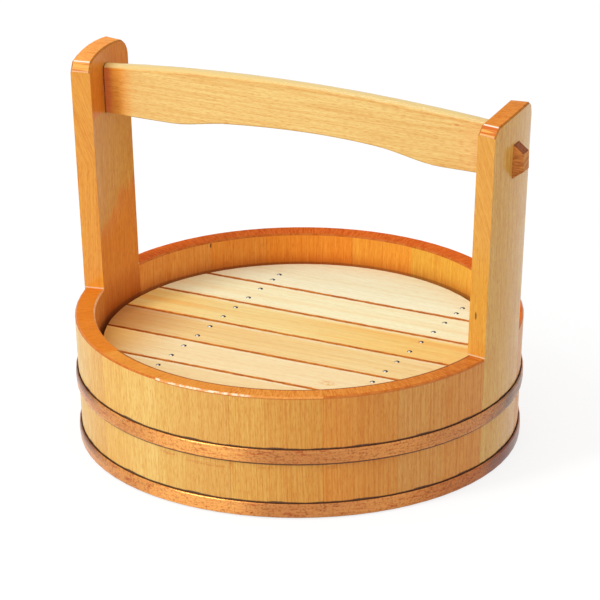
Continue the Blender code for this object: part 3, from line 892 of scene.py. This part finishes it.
def is_rear_corner(edge):
    """Whether an edge is one of the two of the chamfer at the back of an upright's top."""
    first, last = (vertex.co for vertex in edge.verts)
    across = abs(first.z - last.z) < REAR_SKEW_Z and abs(first.y - last.y) < REAR_SKEW_Y
    at_top = min(first.z, last.z) > HANDLE_TOP / MM - REAR_DROP
    at_back = min(first.y, last.y) > REAR_START
    return across and at_top and at_back and edge.calc_face_angle(0.0) > REAR_ANGLE


def ease_edges(shape, ease, chosen):
    """Round the edges that a test chooses, with a width and a number of segments."""
    width, segments = ease
    edges = [edge for edge in shape.edges if len(edge.link_faces) == 2 and chosen(edge)]
    bmesh.ops.bevel(shape, geom=edges, offset=width, offset_type="OFFSET", segments=segments,
                    profile=0.5, affect="EDGES", clamp_overlap=True)


def refined(node, ease, materials, face_slot=None, widen=0.0, rounded=None):
    """A finer copy of a CAD node: joined faces, eased edges and smooth shading. It replaces the node."""
    shape = bmesh.new()
    shape.from_mesh(frame["nodes"][node].data)
    bmesh.ops.remove_doubles(shape, verts=shape.verts, dist=MERGE_DISTANCE)
    bmesh.ops.dissolve_limit(shape, angle_limit=FLAT_ANGLE, verts=shape.verts, edges=shape.edges)
    if widen:
        widen_stave(shape, widen)
    if rounded:
        ease_edges(shape, REAR_EASE, rounded)
    ease_edges(shape, ease, is_sharp)
    shape.normal_update()
    for face in shape.faces:
        face.material_index = face_slot(face) if face_slot else 0
    add_piece(node, shape, materials)


def stave_face_slot(face):
    """Outside, inside, end grain, or the rim's outer edge or inner lip, of a plain stave."""
    centre = face.calc_center_median()
    outward = face.normal.dot(Vector((centre.x, centre.y, 0.0)).normalized())
    up = face.normal.z
    if abs(up) > STAVE_END_UP or abs(up) > EASED_UP > abs(outward):
        return END
    if up > EASED_UP:
        return EDGE if outward > 0 else LIP
    return OUTER if outward > INSIDE_OUTWARD else INNER


def handle_face_slot(face):
    """Outside, inside, sides, end grain, chamfers, rubbed corners or brown top edges of a handle stave."""
    centre = face.calc_center_median()
    outward = math.copysign(1.0, centre.x) * face.normal.x
    up = face.normal.z
    if abs(up) > HANDLE_END_UP:
        return END
    if up > EASED_UP and abs(outward) > EASED_UP:
        return LIP
    if up > CHAMFER_UP and abs(face.normal.y) > CHAMFER_SIDEWAYS:
        if centre.y > 0:
            return END
        return CHAMFER if face.calc_area() > CHAMFER_AREA else EDGE
    if abs(outward) < FLANK_OUTWARD:
        return SIDE
    return OUTER if outward > 0 else INNER


def bar_face_slot(face):
    """The tenon noses outside the uprights get their own wood, with painted shade making their upper slopes
    darker.
    """
    if abs(face.calc_center_median().x) * MM < HANDLE_REACH - NOSE_DEPTH:
        return BAR
    return NOSE_SHADED_SLOPE if face.normal.z > NOSE_SLOPE_UP else NOSE


def hoop_face_slot(face):
    """A hoop's upper ledge is dark, with grime and painted shade."""
    return LEDGE if face.normal.z > LEDGE_UP else BAND


def dress_staves():
    """Plain staves, each with its own tone of wood outside, inside and on the rim."""
    plain, lined = PLAIN_GRAIN, LINED_GRAIN
    front = (
        ((0.85, 0.46, 0.080), (0.85, 0.46, 0.085), plain),
        ((0.87, 0.51, 0.106), (0.85, 0.43, 0.080), plain),
        ((0.90, 0.48, 0.092), (0.94, 0.56, 0.145), plain),
        ((0.94, 0.50, 0.115), (0.895, 0.415, 0.086), plain),
        ((0.935, 0.415, 0.077), (0.89, 0.34, 0.051), lined),
        ((0.88, 0.315, 0.043), (0.87, 0.32, 0.050), lined),
        ((0.87, 0.36, 0.073), (0.87, 0.36, 0.073), lined),
        ((0.86, 0.32, 0.051), (0.86, 0.32, 0.051), lined),
    )
    back = [(tone, tone, lined) for tone in (
        (0.86, 0.34, 0.050), (0.85, 0.37, 0.058), (0.86, 0.32, 0.042), (0.84, 0.31, 0.038),
        (0.87, 0.39, 0.066), (0.85, 0.33, 0.046), (0.86, 0.36, 0.058), (0.85, 0.41, 0.075),
    )]
    # Darker insides of the front staves, as painted shade
    inside_front_shaded = ((0.66, 0.22, 0.035),) * len(FRONT_STAVES)
    inside_back = (
        (0.90, 0.43, 0.056), (0.88, 0.43, 0.056), (0.84, 0.41, 0.052), (0.89, 0.34, 0.039),
        (0.90, 0.29, 0.031), (0.88, 0.31, 0.045), (0.86, 0.33, 0.061), (0.84, 0.32, 0.060),
    )
    rim_front = (
        (0.71, 0.198, 0.016), (0.72, 0.21, 0.020), (0.75, 0.27, 0.038), (0.74, 0.265, 0.040),
        (0.71, 0.245, 0.036), (0.68, 0.22, 0.030), (0.63, 0.187, 0.024), (0.61, 0.177, 0.023),
    )
    rim_back = ((0.72, 0.125, 0.008),) * len(BACK_STAVES)
    # Painted highlight with wear on the rim's outer edge at the front
    highlight_reach = (-38.0, 37.0)
    rubbed_highlight_edge = edge_material("stave_edge_rubbed_highlight", (0.86, 0.34, 0.06), (0.98, 0.78, 0.54), 0.9, 0.3,
                                highlight_reach)
    plain_edge = edge_material("stave_edge", (0.60, 0.155, 0.018), (0.80, 0.30, 0.07), 0.3, 0.1)
    pale_lip = edge_material("stave_lip_pale", (0.84, 0.30, 0.05), (0.92, 0.48, 0.16), 0.6, 0.2)
    plain_lip = edge_material("stave_lip", (0.60, 0.14, 0.014), (0.78, 0.26, 0.05), 0.4, 0.1)
    pale_lips, rubbed_highlight_staves = FRONT_STAVES[:3], FRONT_STAVES[3:5]
    lined_lips, lined_rims = FRONT_STAVES[2:], FRONT_STAVES[3:]
    smooth_rims = FRONT_STAVES[:4]
    split_stave, split_height = "stave_back_7", 91.7
    looks = list(zip(FRONT_STAVES, front, inside_front_shaded, rim_front))
    looks += list(zip(BACK_STAVES, back, inside_back, rim_back))
    for i, (node, (left, right, depths), inner_tone, rim_tone) in enumerate(looks):
        span, seed = node_span(node), seed_of(STAVE_SEEDS, i)
        chip = (-span[1] * WALL_RADIUS + 0.5, split_height) if node == split_stave else None
        outer = stave_material(f"{node}_outside", span, seed, (left, right), depths, node in lined_rims)
        inner = inner_material(f"{node}_inside", span[0], seed, inner_tone, chip)
        lines = 0.45 if node in smooth_rims else 0.90
        end = end_grain_material(f"{node}_end_grain", rim_tone, lines, node in lined_lips)
        edge = rubbed_highlight_edge if node in rubbed_highlight_staves else plain_edge
        lip = pale_lip if node in pale_lips else plain_lip
        refined(node, STAVE_EASE, (outer, inner, end, edge, lip), stave_face_slot, CAD_SEAM - STAVE_SEAM)


def dress_handle():
    """The two handle staves and the bar."""
    shiny, dull = (0.18, 0.28, 0.33), (0.34, 0.48, 0.25)
    chamfer = chamfer_material("handle_chamfer", (0.78, 0.27, 0.036))
    brown = end_grain_material("handle_brown_edge", (0.52, 0.17, 0.030))
    edge = edge_material("handle_edge", (0.95, 0.66, 0.36), (0.98, 0.88, 0.74), 0.8)
    outside_tone, outside_grain = (0.99, 0.448, 0.085), (0.3, 0.45, 0.8, 0.9)
    inside_tone, inside_grain = (0.76, 0.245, 0.023), (0.3, 0.3, 0.7, 0.9)
    side_grain = (0.3, 0.4, 0.7, 0.8)
    looks = (
        ((190.0, -0.40), None, (0.84, 0.33, 0.037), (0.88, 0.335, 0.074)),
        ((185.0, 0.40), (-29.6, -4.0, 126.5), (0.83, 0.37, 0.050), (0.72, 0.235, 0.036)),
    )
    for i, (node, (slant, knot, side_tone, end_tone)) in enumerate(zip(HANDLE_STAVES, looks)):
        middle, seed = node_span(node)[0], seed_of(HANDLE_SEEDS, i)
        outside = handle_material(f"{node}_outside", middle, seed, outside_tone, outside_grain, shiny)
        inside = handle_material(f"{node}_inside", middle, seed, inside_tone, inside_grain, dull,
                                 inside=True)
        end = end_grain_material(f"{node}_end_grain", end_tone)
        sides = handle_material(f"{node}_sides", middle, seed, side_tone, side_grain,
                                slant=slant, knot=knot)
        materials = (outside, inside, end, edge, brown, sides, chamfer)
        refined(node, HANDLE_EASE, materials, handle_face_slot, CAD_SEAM - STAVE_SEAM, is_rear_corner)
    wood = bar_material("handle_bar_wood", BAR_SEED, (0.95, 0.550, 0.163))
    nose = nose_material("handle_bar_nose", (0.82, 0.32, 0.084))
    # Painted shade on the noses' upper slopes
    slope = nose_material("handle_bar_nose_slope_shade", (0.30, 0.080, 0.020))
    refined("handle_bar", BAR_EASE, (wood, nose, slope), bar_face_slot)


def dress_hoops():
    """Copper hoops, with the painted shade that the right side and the end on the handle stave of each are
    multiplied by.
    """
    ledge = ledge_grime_and_shade_material("hoop_ledge_grime_and_shade")
    painted_shade_shares = (((0.73, 0.71, 0.88), (0.60, 0.60, 0.60)), ((0.64, 0.50, 0.50), (0.42, 0.25, 0.22)))
    for i, (node, (right, end), (low, _)) in enumerate(zip(HOOPS, painted_shade_shares, HOOP_SPANS)):
        copper = copper_material(f"{node}_copper", seed_of(HOOP_SEEDS, i), COPPER_TONE, right, end, low)
        refined(node, HOOP_EASE, (copper, ledge), hoop_face_slot)


def dress_drainboard():
    """Slats, battens and nails of the loose board."""
    cream, honey = (0.93, 0.62, 0.24), (0.92, 0.48, 0.10)
    faint, strong = (0.25, 0.16, 0.28, 0.35), (0.45, 0.30, 0.35, 0.35)
    even = (1.0, 1.0, 1.0)
    # Each slat: tone, streak colour and depth, grain, tilt, and the painted shade at its left end
    slats = (
        ((0.985, 0.94, 0.60), cream, 0.06, faint, even, even),
        ((0.96, 0.86, 0.53), honey, 0.18, faint, even, even),
        ((0.91, 0.68, 0.27), honey, 0.55, strong, (1.0, 0.86, 0.60), (1.0, 0.90, 0.72)),
        ((0.89, 0.60, 0.235), honey, 0.16, strong, (1.0, 1.07, 1.15), (0.64, 0.43, 0.29)),
        ((0.92, 0.72, 0.39), cream, 0.12, faint, even, (0.87, 0.60, 0.27)),
        ((0.90, 0.67, 0.335), cream, 0.12, faint, even, even),
    )
    stains = {"slat_5": (56.7, -67.7)}
    for i, (node, look) in enumerate(zip(SLATS, slats)):
        seed, edges = seed_of(SLAT_SEEDS, i), slat_edges(node)
        wood = slat_material(f"{node}_wood", seed, *look, edges, stains.get(node))
        refined(node, SLAT_EASE, (wood,))
    for i, node in enumerate(BATTENS):
        wood = board_material(f"{node}_wood", seed_of(BATTEN_SEEDS, i), BATTEN_TONE, along_x=False)
        refined(node, BATTEN_EASE, (wood,))
    steel = steel_material("nail_steel_painted_highlight")
    for node in NAILS:
        make_nail(node, steel)


def make_nail(node, steel):
    """A nail with a smooth domed head, turned about its axis, in the place of the faceted one."""
    low, high = (Vector(corner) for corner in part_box(node))
    centre = (low + high) / 2
    head = (high.x - low.x) / 2
    tip = 0.3 * NAIL_SHANK
    under_head, shank_end = high.z - NAIL_HEAD, low.z + 2 * NAIL_SHANK
    turns = [math.pi / 2 * i / NAIL_STEPS for i in range(1, NAIL_STEPS + 1)]
    profile = [(head * math.sin(t), high.z - NAIL_DOME * (1 - math.cos(t))) for t in turns]
    profile += [(head, under_head), (NAIL_SHANK, under_head), (NAIL_SHANK, shank_end), (tip, low.z)]
    angles = [2 * math.pi * i / NAIL_SIDES for i in range(NAIL_SIDES)]
    shape = bmesh.new()
    rings = []
    for radius, z in profile:
        ring = [(centre.x + radius * math.cos(a), centre.y + radius * math.sin(a), z) for a in angles]
        rings.append([shape.verts.new(point) for point in ring])
    top = shape.verts.new((centre.x, centre.y, high.z))
    for i in range(NAIL_SIDES):
        j = (i + 1) % NAIL_SIDES
        shape.faces.new((top, rings[0][i], rings[0][j]))
        for near, far in zip(rings, rings[1:]):
            shape.faces.new((near[i], far[i], far[j], near[j]))
    shape.faces.new(rings[-1])
    bmesh.ops.recalc_face_normals(shape, faces=shape.faces)
    add_piece(node, shape, (steel,))


def dress_bottom():
    """Bottom boards and their dowels."""
    for i, node in enumerate(BOTTOM_BOARDS):
        wood = board_material(f"{node}_wood", seed_of(BOTTOM_SEEDS, i), BOTTOM_TONE)
        refined(node, BOTTOM_EASE, (wood,))
    bamboo = board_material("dowel_bamboo_split", DOWEL_SEED, BAMBOO_TONE, along_x=False)
    for node in DOWELS:
        refined(node, BOTTOM_EASE, (bamboo,))


def make_camera():
    """The photograph's camera, far away with a long lens."""
    data = bpy.data.cameras.new("photo_camera")
    data.lens = CAMERA_LENS
    data.sensor_width = SENSOR_WIDTH
    data.sensor_fit = "HORIZONTAL"
    data.clip_end = CAMERA_CLIP_END
    azimuth, elevation = CAMERA_AZIMUTH, CAMERA_ELEVATION
    back = Vector((math.sin(azimuth) * math.cos(elevation), -math.cos(azimuth) * math.cos(elevation),
                   math.sin(elevation)))
    right = Vector((math.cos(azimuth), math.sin(azimuth), 0.0))
    up = back.cross(right)
    c, s = math.cos(CAMERA_ROLL), math.sin(CAMERA_ROLL)
    right, up = c * right + s * up, c * up - s * right
    place = Matrix((right, up, back)).transposed().to_4x4()
    place.translation = CAMERA_TARGET + CAMERA_DISTANCE * back
    camera = bpy.data.objects.new("photo_camera", data)
    camera.matrix_world = place
    bpy.context.scene.collection.objects.link(camera)
    bpy.context.scene.camera = camera


def make_key():
    """One tall soft lamp at the front left, as wide as its shadows are soft."""
    data = bpy.data.lights.new("key", "AREA")
    data.shape = "RECTANGLE"
    data.size = KEY_WIDTH
    data.size_y = KEY_HEIGHT
    data.energy = KEY_POWER
    level = math.cos(KEY_ELEVATION)
    aim = Vector((level * math.cos(KEY_BEARING), level * math.sin(KEY_BEARING), math.sin(KEY_ELEVATION)))
    lamp = bpy.data.objects.new("key", data)
    lamp.location = LIT_POINT + KEY_DISTANCE * aim
    lamp.rotation_euler = (-aim).to_track_quat("-Z", "Y").to_euler()
    bpy.context.scene.collection.objects.link(lamp)


def seen_rays(nodes, links):
    """1 for rays from the camera, and for reflected and refracted ones."""
    path = nodes.new("ShaderNodeLightPath")
    total = path.outputs["Is Camera Ray"]
    for ray in ("Is Glossy Ray", "Is Transmission Ray"):
        larger = nodes.new("ShaderNodeMath")
        larger.operation = "MAXIMUM"
        links.new(total, larger.inputs[0])
        links.new(path.outputs[ray], larger.inputs[1])
        total = larger.outputs[0]
    return total


def make_surround():
    """An even white surround."""
    world = bpy.data.worlds.new("white_surround")
    bpy.context.scene.world = world
    world.use_nodes = True
    nodes, links = world.node_tree.nodes, world.node_tree.links
    background = nodes["Background"]
    background.inputs["Color"].default_value = (*WHITE, 1.0)
    strength = nodes.new("ShaderNodeMapRange")
    strength.inputs["To Min"].default_value = SKY_STRENGTH
    strength.inputs["To Max"].default_value = 1.0
    links.new(seen_rays(nodes, links), strength.inputs["Value"])
    links.new(strength.outputs[0], background.inputs["Strength"])


def make_floor():
    """A white floor that keeps a faint shadow of the tub."""
    mesh = bpy.data.meshes.new("floor")
    half = FLOOR_HALF
    corners = [(-half, -half, 0), (half, -half, 0), (half, half, 0), (-half, half, 0)]
    mesh.from_pydata(corners, [], [(0, 1, 2, 3)])
    floor = bpy.data.objects.new("floor", mesh)
    bpy.context.scene.collection.objects.link(floor)
    graph = Graph("white_floor")
    seen = seen_rays(graph.nodes, graph.links)
    graph.finish(graph.mix(seen, FLOOR_BOUNCE, FLOOR_SHOWN), 0.9, specular=0.0)
    graph.put(graph.shader.inputs["Emission Color"], WHITE)
    graph.put(graph.shader.inputs["Emission Strength"], graph.times(seen, FLOOR_GLOW))
    mesh.materials.append(graph.material)


dress_staves()
dress_handle()
dress_hoops()
dress_drainboard()
dress_bottom()
make_camera()
make_key()
make_surround()
make_floor()
bpy.context.scene.view_settings.view_transform = "Standard"
